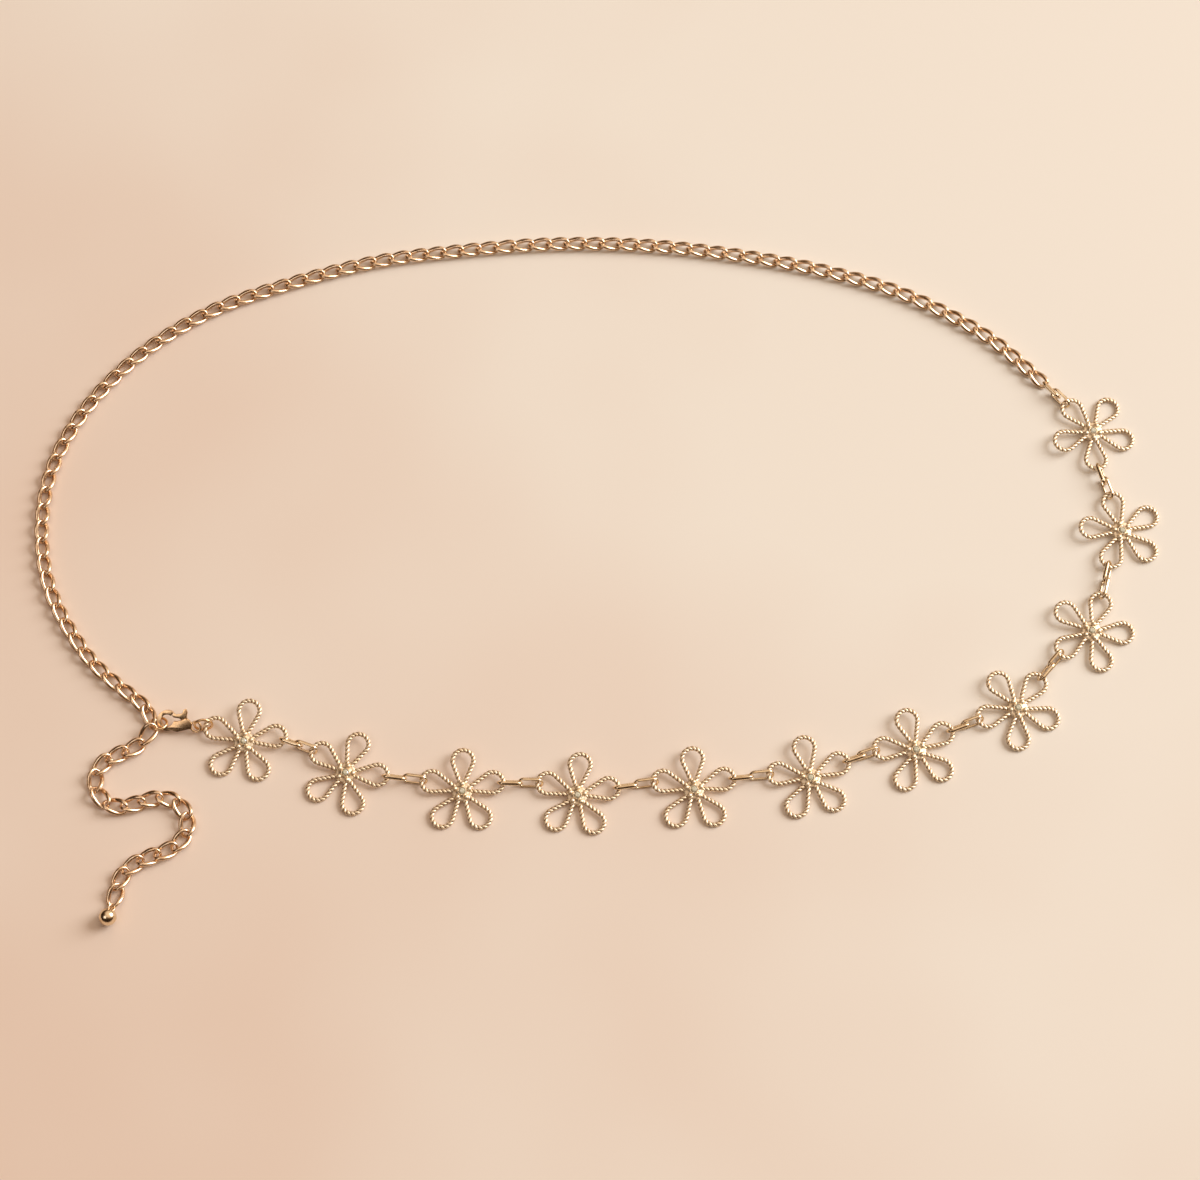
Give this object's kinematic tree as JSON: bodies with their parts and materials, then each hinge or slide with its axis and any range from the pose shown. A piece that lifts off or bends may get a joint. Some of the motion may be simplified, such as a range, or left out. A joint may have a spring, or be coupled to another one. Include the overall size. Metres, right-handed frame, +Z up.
{
  "type": "waist chain",
  "caption": "Waist chain of openwork daisy links with stones along the front, a twisted curb chain round the back, a lobster clasp and a short extender ending in a ball.",
  "frame": {"origin": "middle of the outline of the laid-out chain, at the height of the table it lies on", "axes": "+Z up from the table, +X along the waist's width, +Y from the flower row towards the back of the waist"},
  "size_m": [0.3332, 0.2179, 0.0057],
  "materials": {
    "flower_gold": "polished",
    "rose_gold": "polished",
    "clear_stone": "cut and polished"
  },
  "bodies": {
    "chain": {"flower_01": "flower_gold", "flower_02": "flower_gold", "flower_03": "flower_gold", "flower_04": "flower_gold", "flower_05": "flower_gold", "flower_06": "flower_gold", "flower_07": "flower_gold", "flower_08": "flower_gold", "flower_09": "flower_gold", "flower_10": "flower_gold", "flower_11": "flower_gold", "stone_01": "clear_stone", "stone_02": "clear_stone", "stone_03": "clear_stone", "stone_04": "clear_stone", "stone_05": "clear_stone", "stone_06": "clear_stone", "stone_07": "clear_stone", "stone_08": "clear_stone", "stone_09": "clear_stone", "stone_10": "clear_stone", "stone_11": "clear_stone", "connector_01": "rose_gold", "connector_02": "rose_gold", "connector_03": "rose_gold", "connector_04": "rose_gold", "connector_05": "rose_gold", "connector_06": "rose_gold", "connector_07": "rose_gold", "connector_08": "rose_gold", "connector_09": "rose_gold", "connector_10": "rose_gold", "connector_11": "rose_gold", "connector_12": "rose_gold", "connector_13": "rose_gold", "connector_14": "rose_gold", "connector_15": "rose_gold", "connector_16": "rose_gold", "connector_17": "rose_gold", "connector_18": "rose_gold", "connector_19": "rose_gold", "connector_20": "rose_gold", "connector_21": "rose_gold", "connector_22": "rose_gold", "curb_chain": "rose_gold", "extender_chain": "rose_gold", "end_ball": "rose_gold", "jump_ring": "rose_gold", "joint_ring": "rose_gold", "clasp_body": "rose_gold"},
    "lever": {"clasp_lever": "rose_gold"}
  },
  "joints": [
    {"name": "lever_hinge", "type": "hinge", "parent": "chain", "child": "lever", "pos_m": [-0.11861, -0.0487, 0.0025], "axis": [-0.104, -0.4891, 0.866], "range_deg": [0, 25], "stiffness_Nm_per_rad": 0.01, "springref_deg": -8.59}
  ]
}
